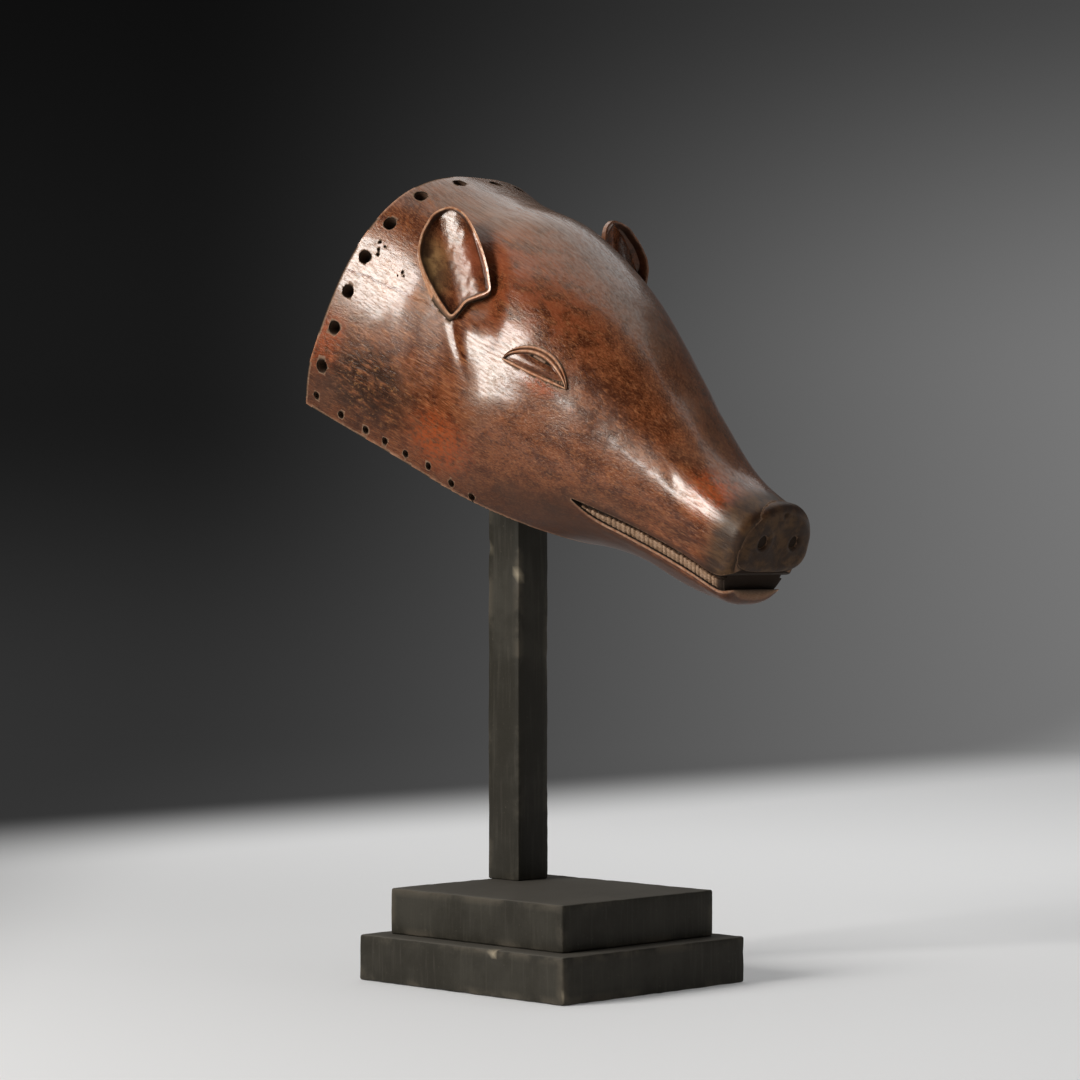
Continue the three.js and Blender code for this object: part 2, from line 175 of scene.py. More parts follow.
# Holes of the rear rim, at shares of the way from the middle of the crown to the rim's
# lower corner, minus on the near side, and of the lower rim, as x and z. The worm holes
# are in the near side, as x, z and radius.
LARGE_HOLES = (-1, -0.853, -0.719, -0.588, -0.447, -0.299, -0.133, 0.030,
               0.150, 0.290, 0.435, 0.575, 0.712, 0.857, 1)
LARGE_HOLE_RADIUS = 4
LARGE_HOLE_INSET = 9.5
LARGE_HOLE_LIFT = 30
SMALL_HOLES = ((9, 10), (31, 6.5), (53, 6), (70, 6), (89, 6), (110, 7), (131, 5), (147, 3.2))
SMALL_HOLE_RADIUS = 2.2
WORM_HOLES = ((12, 119, 1.0), (14, 115, 0.9), (15.5, 112, 1.0), (16.5, 118, 0.7), (37, 109, 0.9),
              (39.5, 107.5, 0.6), (35.5, 106, 0.5))
LARGE_BORE_DEPTH = 1.8 * WALL
SMALL_BORE_DEPTH = 2.2 * WALL
WORM_HOLE_DEPTH = 3.5

HEAD_CREASE = 38
STAND_CREASE = 50
EDGE_WEAR = 0.00035
CHIP_BITE = 0.35


def along(key, x):
    """One section property at x, on a smooth curve through the sections."""
    shares = np.array(SHARES)
    values = np.array(PROFILE[key])
    steps = np.diff(shares)
    slopes = np.diff(values) / steps
    bends = np.empty(len(shares))
    bends[0] = slopes[0]
    bends[-1] = slopes[-1]
    bends[1:-1] = (slopes[:-1] * steps[:-1] + slopes[1:] * steps[1:]) / (steps[:-1] + steps[1:])
    share = np.clip(np.asarray(x, float) / HEAD_LENGTH, 0, 1)
    i = np.clip(np.searchsorted(shares, share, side="right") - 1, 0, len(shares) - 2)
    t = (share - shares[i]) / steps[i]
    start = values[i] * (2 * t ** 3 - 3 * t ** 2 + 1) + bends[i] * steps[i] * (t ** 3 - 2 * t ** 2 + t)
    end = values[i + 1] * (3 * t ** 2 - 2 * t ** 3) + bends[i + 1] * steps[i] * (t ** 3 - t ** 2)
    return start + end


def section(x, inset=0):
    """Top, widest height, underside, half width and the two roundings at x."""
    top = along("top", x) * HEAD_HEIGHT - inset
    widest = along("widest", x) * HEAD_HEIGHT
    under = along("under", x) * HEAD_HEIGHT + inset
    half = along("half", x) * HEAD_WIDTH - inset
    return top, widest, under, half, along("round_top", x), along("round_low", x)


def relief(x, z, mounds=MOUNDS):
    """Sum of the soft mounds at a place on the head's side."""
    rise_here = np.zeros(np.broadcast(x, z).shape)
    for centre_x, centre_z, length, width, tilt, rise in mounds:
        turn = math.radians(tilt)
        dx = x - centre_x * HEAD_LENGTH
        dz = z - centre_z * HEAD_HEIGHT
        u = (dx * math.cos(turn) + dz * math.sin(turn)) / (length * HEAD_LENGTH)
        v = (dz * math.cos(turn) - dx * math.sin(turn)) / (width * HEAD_LENGTH)
        rise_here = rise_here + rise * np.exp(-u * u - v * v)
    return rise_here


def skin(x, angle, inset=0, scale=1.0):
    """Points on the section at x; angle runs from the crown down the far side."""
    top, widest, under, half, round_top, round_low = section(x, inset)
    upper = np.abs(angle) <= math.pi / 2
    power = 2 / np.where(upper, round_top, round_low)
    out = np.abs(np.sin(angle)) ** power * np.sign(angle)
    rise = np.abs(np.cos(angle)) ** power
    z = np.where(upper, widest + (top - widest) * rise, widest - (widest - under) * rise)
    y = (half + relief(x, z)) * out
    middle = (top + under) / 2
    return np.stack([x + 0 * y, y * scale, middle + (z - middle) * scale], -1)


def half_width(x, z):
    """Half width of the head at x and height z."""
    top, widest, under, half, round_top, round_low = section(x)
    above = z >= widest
    reach = np.where(above, top - widest, widest - under)
    rounding = np.where(above, round_top, round_low)
    share = np.clip(np.abs(z - widest) / reach, 0, 1)
    return (half + relief(x, z)) * (1 - share ** rounding) ** (1 / rounding)


def ease(value, low, high):
    """0 at low, 1 at high, smooth between; low may be the larger."""
    t = np.clip((value - low) / (high - low), 0, 1)
    return t * t * (3 - 2 * t)


def ridge(distance, centre, width):
    """A soft ridge over a distance, 1 at its centre."""
    return np.exp(-((distance - centre) / width) ** 2)


def unit(direction):
    return direction / np.linalg.norm(direction)


def waves(points, shortest, longest, count, seed):
    """Gentle unevenness of hand carving: waves in many directions, from -1 to 1."""
    chance = np.random.default_rng(seed)
    total = np.zeros(points.shape[:-1])
    for _ in range(count):
        direction = unit(chance.normal(size=3))
        length = chance.uniform(shortest, longest)
        total += np.sin(points @ direction * 2 * math.pi / length + chance.uniform(0, 2 * math.pi))
    return total / math.sqrt(count / 2) / 2


def grid_normals(points):
    """Outward directions of a closed grid of rings."""
    along_rings = np.gradient(points, axis=0)
    round_ring = np.roll(points, -1, axis=1) - np.roll(points, 1, axis=1)
    normal = np.cross(round_ring, along_rings)
    length = np.linalg.norm(normal, axis=-1, keepdims=True)
    return normal / np.maximum(length, 1e-9)


def place_in_world(points):
    """Head frame millimetres to world metres."""
    x, y, z = points[..., 0], points[..., 1], points[..., 2]
    turned = np.stack([x * PITCH_COS + z * PITCH_SIN, y, z * PITCH_COS - x * PITCH_SIN], -1)
    return turned * MM + np.array(HEAD_PLACE)


def make_object(name, points, faces):
    """A mesh object in the scene."""
    mesh = bpy.data.meshes.new(name)
    mesh.from_pydata([tuple(p) for p in points], [], faces)
    mesh.validate()
    made = bpy.data.objects.new(name, mesh)
    bpy.context.scene.collection.objects.link(made)
    return made


# The last mark that a solid carries is painted shade, put in its recesses.
def closed_rings(name, rings, wear=None, bare=None, tooth=None, recess_shade=None):
    """Closed solid over rings of head points, each end closed by a fan, with its marks."""
    rows, count = rings.shape[:2]
    points = rings.reshape(-1, 3)
    ends = np.stack([rings[0].mean(0), rings[-1].mean(0)])
    points = place_in_world(np.concatenate([points, ends]))
    faces = []
    for i in range(rows - 1):
        for j in range(count):
            k = (j + 1) % count
            a, b = i * count + j, i * count + k
            faces.append((a, b, b + count, a + count))
    last = (rows - 1) * count
    first_end = rows * count
    for j in range(count):
        k = (j + 1) % count
        faces.append((k, j, first_end))
        faces.append((last + j, last + k, first_end + 1))
    made = make_object(name, points, faces)
    marks = np.zeros((len(points), 4))
    for channel, values in enumerate((wear, bare, tooth, recess_shade)):
        if values is not None:
            marks[:rows * count, channel] = np.asarray(values, float).ravel()
            marks[first_end, channel] = marks[:count, channel].mean()
            marks[first_end + 1, channel] = marks[last:first_end, channel].mean()
    set_marks(made.data, marks)
    return made


def set_marks(mesh, marks):
    """Keep marks as a colour layer: wear, bare wood, tooth and painted shade in recesses."""
    layer = mesh.color_attributes.get("marks")
    if layer is None:
        layer = mesh.color_attributes.new("marks", "FLOAT_COLOR", "POINT")
    layer.data.foreach_set("color", marks.astype(np.float32).ravel())


def get_marks(mesh):
    """The four marks of each point of a mesh."""
    layer = mesh.color_attributes["marks"]
    marks = np.zeros(len(mesh.vertices) * 4, np.float32)
    layer.data.foreach_get("color", marks)
    return marks.reshape(-1, 4).astype(float)


def combine(target, tool, operation):
    """Join the tool to the target or cut it out, and remove the tool."""
    modifier = target.modifiers.new("combine", "BOOLEAN")
    modifier.operation = operation
    modifier.object = tool
    modifier.solver = "MANIFOLD"
    bpy.context.view_layer.update()
    shaped = target.evaluated_get(bpy.context.evaluated_depsgraph_get())
    mesh = bpy.data.meshes.new_from_object(shaped)
    target.modifiers.clear()
    old = target.data
    target.data = mesh
    bpy.data.meshes.remove(old)
    tool_mesh = tool.data
    bpy.data.objects.remove(tool)
    bpy.data.meshes.remove(tool_mesh)


def spread(stops):
    """Positions through stops of (position, spacing up to the next stop)."""
    places = []
    for (start, spacing), (end, _) in zip(stops[:-1], stops[1:]):
        steps = max(1, round((end - start) / spacing))
        places.extend(start + (end - start) * i / steps for i in range(steps))
    places.append(stops[-1][0])
    return np.array(places)


def ring_angles(count, x):
    """Angles round the section at x, PI down to -PI, closest together where most shows."""
    around = np.linspace(0, math.pi, 400)
    muzzle = float(ease(x, 170, 225))
    close = 1 + 1.8 * muzzle * ridge(around, 2.1, 0.28)
    close = close - 0.7 * (1 - muzzle) * ease(around, 2.2, 2.5)
    reach = np.concatenate([[0], np.cumsum((close[1:] + close[:-1]) / 2)])
    even = (np.arange(count // 2) + 0.5) / (count // 2)
    half_round = np.interp(even, reach / reach[-1], around)
    return np.concatenate([half_round[::-1], -half_round])


def outer_head():
    """The head's outside, with the unevenness that the carver's tools left."""
    straight = spread([(-PAST_RIM, 2.6), (0, 1.7), (60, 1.5), (200, 1.6), (JAW_END - JAW_ROUNDING, 1)])
    rings = [skin(x, ring_angles(RING_POINTS, x)) for x in straight]
    for i in range(1, JAW_STEPS + 1):
        turn = i / JAW_STEPS * JAW_HALF_TURNS * math.pi
        x = JAW_END - JAW_ROUNDING + JAW_ROUNDING * math.sin(turn)
        scale = 1 - JAW_NARROWING * (1 - math.cos(turn))
        rings.append(skin(x, ring_angles(RING_POINTS, x), 0, scale))
    points = np.stack(rings)
    x, z = points[..., 0], points[..., 2]
    carving = UNEVENNESS * waves(points, 22, 60, 26, seed=4)
    carving += TOOL_MARKS * waves(points, 8, 16, 40, seed=9)
    side = np.clip(np.abs(points[..., 1]) / 20, 0, 1)
    carving += relief(x, z, FINE_MOUNDS) * side
    over_upper = z - upper_lip(x)
    over_lower = z - lower_lip(x)
    lips = LIP_RISE * ridge(over_upper, 2.88, 3.2) + LIP_RISE * ridge(over_lower, -4.5, 3.0)
    lips += LIP_EDGE_RISE * ridge(over_lower, -0.8, 1.0)
    groove = -LIP_GROOVE * ridge(over_lower, -2.6, 0.55)
    on_lips = np.clip((x - MOUTH_CORNER + 4) / 25, 0, 1) * side
    carving += (lips + groove) * on_lips
    carving *= np.clip((JAW_END - 1 - x) / 6, 0, 1)
    points += grid_normals(points) * carving[..., None]
    rubbed = 0.6 * ridge(over_lower, -0.9, 0.9) * on_lips
    return closed_rings("mask_carved", points, wear=rubbed)


def hollow():
    """The space for the wearer's head, with adze marks."""
    straight = spread([(-2 * PAST_RIM, 3.2), (HOLLOW_STRAIGHT, 1)])
    angles = ring_angles(HOLLOW_RING_POINTS, 0)
    rings = [skin(x, angles, WALL) for x in straight]
    for i in range(1, DOME_STEPS + 1):
        turn = i / DOME_STEPS * DOME_HALF_TURNS * math.pi
        x = HOLLOW_STRAIGHT + (HOLLOW_END - HOLLOW_STRAIGHT) * math.sin(turn)
        rings.append(skin(x, angles, WALL, math.cos(turn)))
    points = np.stack(rings)
    adzed = ADZE_DEPTH * waves(points, 12, 34, 18, seed=21) - ADZE_SET_BACK
    points += grid_normals(points) * adzed[..., None]
    return closed_rings("hollow", points, bare=np.ones(points.shape[:2]))


def upper_lip(x):
    """Height of the upper lip's edge at x."""
    share = np.clip((x - MOUTH_CORNER) / (JAW_END - MOUTH_CORNER), 0, 1)
    return HEAD_HEIGHT * (0.200 + 0.010 * np.sin(math.pi * share) + 0.045 * share ** 20)


def lower_lip(x):
    """Height of the lower lip's edge at x, turned up at the front."""
    share = np.clip((x - MOUTH_CORNER) / (JAW_END - MOUTH_CORNER), 0, 1)
    return HEAD_HEIGHT * (0.196 - 0.037 * np.tanh(9 * share) - 0.012 * share ** 6 + 0.034 * share ** 24)


def parted_mouth():
    """The gap between the lips, round a core that carries the row of small teeth."""
    reach = 0.4 * HEAD_WIDTH
    past_lip = 1.5
    rings = []
    for x in spread([(MOUTH_CORNER, 2), (HEAD_LENGTH + 10, 1)]):
        low = float(lower_lip(x))
        high = float(upper_lip(x)) + 0.2
        rings.append([(x, -reach, low), (x, reach, low), (x, reach, high), (x, -reach, high)])
    gap = closed_rings("mouth_gap", np.array(rings, float))
    levels = np.linspace(0, 1, TOOTH_LEVELS)
    worn = np.random.default_rng(8).uniform(-0.5, 0.7, 64)
    rings = []
    teeth = []
    for x in spread([(MOUTH_CORNER - 6, 0.8), (JAW_END - MOUTH_DEPTH, 1)]):
        low = float(lower_lip(x)) - past_lip
        high = float(upper_lip(x)) + past_lip
        z = low + (high - low) * levels
        between_teeth = 1 - abs(math.sin(math.pi * x / TOOTH_PITCH)) ** 0.6
        shortened = worn[int(x / TOOTH_PITCH) % len(worn)]
        tip = high - past_lip - TEETH_BELOW_LIP - TOOTH_GAP_HEIGHT * between_teeth
        tip -= shortened * (1 - between_teeth)
        tooth = ease(tip - z, -0.25, 0.25) * (1 - TOOTH_GAP_SHADE * between_teeth)
        depth = MOUTH_DEPTH - tooth * (MOUTH_DEPTH - TOOTH_SET_BACK - TOOTH_GAP_DEPTH * between_teeth)
        y = np.maximum(half_width(x + 0 * z, z) - depth, 0.5)
        far_side = np.stack([x + 0 * z, y, z], -1)
        near_side = far_side[::-1] * (1, -1, 1)
        rings.append(np.concatenate([far_side, near_side]))
        teeth.append(np.concatenate([tooth, tooth[::-1]]))
    # Painted shade: the core is painted dark where no tooth shows, and in the front gap.
    teeth = np.stack(teeth) * ease(np.stack(rings)[..., 0], JAW_END - 8, JAW_END - 14)
    core = closed_rings("mouth_core", np.stack(rings), tooth=teeth, recess_shade=1 - teeth)
    combine(gap, core, "DIFFERENCE")
    return gap


def snout_disc():
    """The flat end of the snout: soft edge, slight waist behind it, nostrils and a pit."""
    around = 110
    angle = np.linspace(0, 2 * math.pi, around, endpoint=False)
    c, s = np.cos(angle), np.sin(angle)
    power = np.where(s < 0, 0.6, 0.85)
    up = np.sign(s) * np.abs(s) ** power
    across = DISC_HALF_WIDTH * np.sign(c) * np.abs(c) ** power * (1 - DISC_NARROWING * up)
    edge_steps = 8
    face_steps = 26
    rows = [(DISC_DEPTH, 0.91), (0.78 * DISC_DEPTH, 0.95), (0.58 * DISC_DEPTH, 0.985)]
    for i in range(edge_steps + 1):
        turn = i / edge_steps * math.pi / 2
        back = DISC_EDGE * (1 - math.sin(turn)) + DISC_SET_BACK
        rows.append((back, 1 - DISC_EDGE * (1 - math.cos(turn)) / DISC_HALF_HEIGHT))
    inner = rows[-1][1]
    for i in range(1, face_steps):
        rows.append((DISC_SET_BACK, inner * (1 - i / face_steps)))
    rings = []
    for back, size in rows:
        z = DISC_MIDDLE + DISC_HALF_HEIGHT * up * size
        rings.append(np.stack([0 * c + HEAD_LENGTH - back, DISC_DRIFT + across * size, z], -1))
    points = np.stack(rings)
    y = points[..., 1] - DISC_DRIFT
    z = points[..., 2] - DISC_MIDDLE
    face = points[..., 0] > HEAD_LENGTH - 2.5
    dish = -0.8 * np.exp(-(y / 9) ** 2 - (z / 12) ** 2) + 0.25 * waves(points, 9, 22, 14, seed=3)
    # The nostrils and the pit get painted shade.
    recess_shade = 0 * dish
    for side, depth in NOSTRIL_DEPTHS.items():
        sideways = y - side * NOSTRIL_SPACING / 2
        away = np.hypot(sideways / NOSTRIL_HALF_WIDTH, (z + 1) / NOSTRIL_HALF_HEIGHT)
        hole = 1 / (1 + np.exp((away - 0.8) * 9))
        dish = dish - depth * hole + 0.45 * ridge(away, 1.5, 0.35)
        recess_shade = np.maximum(recess_shade, 0.8 * hole)
    pit = np.exp(-(np.hypot((y + 2.2) / 1.7, (z - 17) / 1.4)) ** 2)
    dish = dish - 1.8 * pit
    points[..., 0] += np.where(face, np.minimum(dish, DISC_SET_BACK), 0)
    return closed_rings("snout_disc", points, recess_shade=np.maximum(recess_shade, pit) * face)


def ear_frame(side):
    """Across, up and facing directions of an ear, and the middle of its opening."""
    own = EARS[side]
    set_in = np.array((-PITCH_COS, -side, -PITCH_SIN)) / math.sqrt(2)
    tip = np.array(EAR_TIP) * (1, side, 1) + set_in * own["tip_set_in"]
    root = np.array(EAR_ROOT) * (1, side, 1) + set_in * own["root_set_in"]
    up = unit(tip - root)
    turn = math.radians(own["turn_out"])
    facing = np.array((math.cos(turn) * PITCH_COS, side * math.sin(turn), math.cos(turn) * PITCH_SIN))
    facing = unit(facing - up * (facing @ up))
    return np.cross(up, facing), up, facing, tip - up * EAR_LENGTH / 2


def ear_outline(width, steps):
    """Smooth closed outline of an ear: towards the crown and up, in millimetres."""
    corners = np.array(EAR_OUTLINE) * (width / 2, EAR_LENGTH / 2)
    before, after, beyond = (np.roll(corners, shift, axis=0) for shift in (1, -1, -2))
    pieces = []
    for t in np.arange(steps) / steps:
        bend = (2 * before - 5 * corners + 4 * after - beyond) * t ** 2
        twist = (3 * corners - before - 3 * after + beyond) * t ** 3
        pieces.append((2 * corners + (after - before) * t + bend + twist) / 2)
    return np.stack(pieces, 1).reshape(-1, 2)


def ear(side):
    """Ear with a thin pale ridge round its dished front, and a boss behind its foot."""
    across, up, facing, middle = ear_frame(side)
    own = EARS[side]
    half = own["width"] / 2
    outline = ear_outline(own["width"], 6)
    if side == NEAR:
        outline = outline[::-1]
    run = np.roll(outline, -1, axis=0) - np.roll(outline, 1, axis=0)
    turned = outline[:, 0] * run[:, 1] - outline[:, 1] * run[:, 0]
    reach = np.abs(turned) / np.linalg.norm(run, axis=1)
    rows = [(share, False) for share in np.linspace(0.04, 1, 22)]
    rows += [(share, True) for share in np.linspace(0.99, 0.84, 14)]
    rows += [(share, True) for share in np.linspace(0.82, 0.03, 26)]
    rings = []
    ridges = []
    crease_shade = []
    for share, front in rows:
        inward, rise = (outline * share).T
        curl = np.where(inward > 0, EAR_CURL, own["outer_curl"]) * (inward / half) ** 2
        from_edge = (1 - share) * reach
        if front:
            beyond_valley = inward + 1 + 0.2 * rise
            floor = -EAR_FLOOR_DEPTH + EAR_FLOOR_SLOPE * np.maximum(-beyond_valley, 0)
            floor += EAR_FLOOR_RISE * ease(beyond_valley, -2, 17)
            sunk = ease(from_edge, EAR_RIDGE, 3.0)
            depth = curl * (1 - sunk) + floor * sunk
        else:
            boss = EAR_BOSS_DEPTH * ease(-rise, -0.15 * EAR_LENGTH, 0.35 * EAR_LENGTH)
            thickness = EAR_THICKNESS * (1 - 0.5 * share ** 3)
            depth = curl - EAR_DISH * (1 - share ** 2) - thickness - boss
        in_plane = middle - side * inward[:, None] * across + rise[:, None] * up
        rings.append(in_plane + depth[:, None] * facing)
        ridges.append(own["rubbed"] * ease(from_edge, 2.0, 1.2))
        # Painted shade: a dark line in the crease just inside the ridge.
        crease_shade.append(0.6 * ridge(from_edge, 2.9, 0.9) if front else 0 * reach)
    points = np.stack(rings)
    uneven = 0.16 * waves(points, 9, 26, 20, seed=31) + 0.10 * waves(points, 4, 8, 24, seed=32)
    points += uneven[..., None] * facing
    return closed_rings("ear", points, wear=np.stack(ridges), recess_shade=np.stack(crease_shade))


def eye_lines(x):
    """Along the eye from -1 to 1, and the heights of its lower line and of the arch over it."""
    u = np.clip((x - EYE_X) / EYE_HALF_LENGTH, -1, 1)
    peak = -0.15
    share = np.where(u < peak, (u - peak) / (1 + peak), (u - peak) / (1 - peak))
    arch = (1 - share ** 2) ** np.where(u < peak, 0.5, 0.8)
    upper = EYE_LOWER_Z + EYE_HEIGHT * arch
    lower = EYE_LOWER_Z - 0.05 * EYE_HEIGHT * (1 - u * u)
    return u, lower, upper


def eye_relief(x, z):
    """Height of the lids and the ball over the head's side, and how much is a lid's edge."""
    u, lower, upper = eye_lines(x)
    from_top = upper - z
    from_low = z - lower
    tight = 0.35 + 0.65 * np.clip((upper - lower) / (0.8 * EYE_HEIGHT), 0, 1)
    outer = ridge(from_top / tight, 0.7, 0.75)
    second = ridge(from_top / tight, 3.4, 0.95)
    groove = ridge(from_top / tight, 1.95, 0.45)
    lower_lid = ridge(from_low / tight, 0.8, 0.8)
    opening = ease(from_top / tight, 4.0, 5.2) * ease(from_low / tight, 1.2, 2.2)
    ball = np.clip((from_low / tight - 1.5) / (0.6 * EYE_HEIGHT), 0, 1)
    height = 1.0 + 0.9 * outer + 0.9 * second - 0.9 * groove + 0.5 * lower_lid
    height = height - opening * (1.9 - 1.9 * np.sin(math.pi * ball ** 0.8) * (1 - u * u))
    edge = np.maximum(np.maximum(outer, second), 0.9 * lower_lid) * (1 - 0.8 * groove)
    return height, edge * (1 - opening), opening


def eye(side):
    """The half-moon eye: a double upper lid, a thin lower lid and the ball between them."""
    columns = 90
    rows = 44
    under_rows = 6
    under_skin = np.full(under_rows, -3.0)
    rings = []
    lids = []
    opening_shade = []
    for u in np.linspace(-0.985, 0.985, columns):
        x = EYE_X + u * EYE_HALF_LENGTH
        _, lower, upper = eye_lines(x)
        z = np.linspace(float(lower) - 0.25, float(upper) + 0.25, rows)
        height, lid, opening = eye_relief(np.full(rows, x), z)
        top = eye_points(x, z, side, height)
        under = eye_points(x, np.linspace(z[-1], z[0], under_rows), side, under_skin)
        step = 1 if side > 0 else -1
        rings.append(np.concatenate([top, under])[::step])
        lids.append(np.concatenate([0.9 * lid, np.zeros(under_rows)])[::step])
        # Painted shade: the opening is painted a little darker.
        opening_shade.append(np.concatenate([0.15 * opening, np.zeros(under_rows)])[::step])
    return closed_rings("eye", np.stack(rings), wear=np.stack(lids), recess_shade=np.stack(opening_shade))


def eye_points(x, z, side, height):
    """Points at a height over the head's side."""
    step = 2.0
    xs = np.full(z.shape, x)
    slope_x = (half_width(xs + step, z) - half_width(xs - step, z)) / (2 * step)
    slope_z = (half_width(xs, z + step) - half_width(xs, z - step)) / (2 * step)
    normal = np.stack([-slope_x, np.full(z.shape, float(side)), -slope_z], -1)
    normal /= np.linalg.norm(normal, axis=-1, keepdims=True)
    base = np.stack([xs, side * half_width(xs, z), z], -1)
    return base + normal * np.asarray(height)[:, None]


def block(name, low, high):
    """Box in the head's frame, as a cutter."""
    (x0, y0, z0), (x1, y1, z1) = low, high
    ring = [(y0, z0), (y1, z0), (y1, z1), (y0, z1)]
    rings = [[(x, y, z) for y, z in ring] for x in (x0, x1)]
    return closed_rings(name, np.array(rings, float))


def bore_rings(point, direction, radius, depth, sides):
    """Rings of a slightly tapered round bore along a direction."""
    direction = unit(np.asarray(direction, float))
    helper = np.array((1.0, 0, 0)) if abs(direction[0]) < 0.8 else np.array((0, 1.0, 0))
    first = unit(np.cross(helper, direction))
    second = np.cross(direction, first)
    angle = np.linspace(0, 2 * math.pi, sides, endpoint=False)
    circle = np.cos(angle)[:, None] * first + np.sin(angle)[:, None] * second
    rows = [(-depth, 0.94), (-0.1 * depth, 1.0), (0.1 * depth, 1.12), (depth, 1.2)]
    middle = np.asarray(point)
    return np.stack([middle + circle * radius * size + direction * reach for reach, size in rows])


def large_hole_places():
    """Points and outward directions of the holes round the rear rim."""
    angles = np.linspace(0, math.pi, 400)
    points = skin(LARGE_HOLE_INSET, angles)
    points = points[points[:, 2] >= LARGE_HOLE_LIFT]
    lengths = np.concatenate([[0], np.cumsum(np.linalg.norm(np.diff(points, axis=0), axis=1))])
    chance = np.random.default_rng(15)
    for share in LARGE_HOLES:
        i = np.searchsorted(lengths, abs(share) * lengths[-1] - 1e-6)
        i = int(np.clip(i, 1, len(points) - 2))
        side = math.copysign(1, share)
        point = points[i] * (1, side, 1) + (chance.uniform(-0.7, 0.7), 0, 0)
        tangent = (points[i + 1] - points[i - 1]) * (1, side, 1)
        yield point, np.array((0, -tangent[2], tangent[1])) * side


def small_hole_places():
    """Points and outward directions of the holes along the lower rim."""
    for side in (NEAR, FAR):
        for x, z in SMALL_HOLES:
            yield (x, side * float(half_width(x, z)), z), (0, side, 0)


def cut_bore(head, rings):
    """Cut one bore out of the head, bare inside, with painted shade in it."""
    dark = np.full(rings.shape[:2], 0.7)
    combine(head, closed_rings("bore", rings, bare=dark, recess_shade=dark), "DIFFERENCE")


def cut_holes(head):
    """The lacing holes and the worm holes."""
    for point, outward in large_hole_places():
        cut_bore(head, bore_rings(point, outward, LARGE_HOLE_RADIUS, LARGE_BORE_DEPTH, 28))
    for point, outward in small_hole_places():
        cut_bore(head, bore_rings(point, outward, SMALL_HOLE_RADIUS, SMALL_BORE_DEPTH, 18))
    for x, z, radius in WORM_HOLES:
        point = (x, NEAR * float(half_width(x, z)), z)
        cut_bore(head, bore_rings(point, (0.1, NEAR, 0.5), radius, WORM_HOLE_DEPTH, 10))


def carve_head():
    """The whole mask: one piece of wood."""
    head = outer_head()
    combine(head, parted_mouth(), "DIFFERENCE")
    combine(head, snout_disc(), "UNION")
    for side in (NEAR, FAR):
        combine(head, ear(side), "UNION")
        combine(head, eye(side), "UNION")
    combine(head, hollow(), "DIFFERENCE")
    far_out = 2 * HEAD_LENGTH
    lowest = (-far_out, -far_out, -far_out)
    combine(head, block("behind", lowest, (0, far_out, far_out)), "DIFFERENCE")
    combine(head, block("below", lowest, (far_out, far_out, 0)), "DIFFERENCE")
    cut_holes(head)
    head.name = "mask_carved"
    return head


def smooth(piece, degrees):
    """Smooth shading that keeps edges sharper than an angle."""
    mesh = piece.data
    mesh.shade_smooth()
    mesh.set_sharp_from_angle(angle=math.radians(degrees))


def mesh_points(mesh):
    """A mesh's points as rows."""
    flat = np.empty(len(mesh.vertices) * 3)
    mesh.vertices.foreach_get("co", flat)
    return flat.reshape(-1, 3)


def head_points(mesh):
    """A mesh's points in the head's frame, in millimetres."""
    x, y, z = ((mesh_points(mesh) - np.array(HEAD_PLACE)) / MM).T
    return np.stack([x * PITCH_COS - z * PITCH_SIN, y, x * PITCH_SIN + z * PITCH_COS], -1)


def wear_rims(head):
    """Add the rims' wear to the marks that the joined pieces brought along."""
    marks = get_marks(head.data)
    x, _, z = head_points(head.data).T
    rims = np.maximum(ease(x, 1.6, 0.2), ease(z, 1.6, 0.2) * (x < HOLLOW_END))
    marks[:, 0] = np.maximum(marks[:, 0], 0.35 * rims)
    set_marks(head.data, marks)


class Number:
    """A number in a material: sums and products of these add their Math nodes."""

    def __init__(self, material, socket):
        self.material = material
        self.socket = socket

    def maths(self, operation, first, second=None):
        values = {0: first}
        if second is not None:
            values[1] = second
        return self.material.node("ShaderNodeMath", {"operation": operation}, values).number(0)

    def __add__(self, other):
        return self.maths("ADD", self, other)

    __radd__ = __add__

    def __sub__(self, other):
        return self.maths("SUBTRACT", self, other)

    def __rsub__(self, other):
        return self.maths("SUBTRACT", other, self)

    def __mul__(self, other):
        return self.maths("MULTIPLY", self, other)

    __rmul__ = __mul__

    def __abs__(self):
        return self.maths("ABSOLUTE", self)

    def between(self, low, high):
        """0 where this is at low, 1 where it is at high, smooth between; low may be the larger."""
        values = {"Value": self, 1: low, 2: high}
        if low > high:
            values = {"Value": self, 1: high, 2: low, 3: 1, 4: 0}
        settings = {"interpolation_type": "SMOOTHSTEP"}
        return self.material.node("ShaderNodeMapRange", settings, values).number(0)


class Made:
    """A node that was added, with its outputs."""

    def __init__(self, material, node):
        self.material = material
        self.outputs = node.outputs

    def number(self, name):
        return Number(self.material, self.outputs[name])

    def socket(self, name):
        return self.outputs[name]


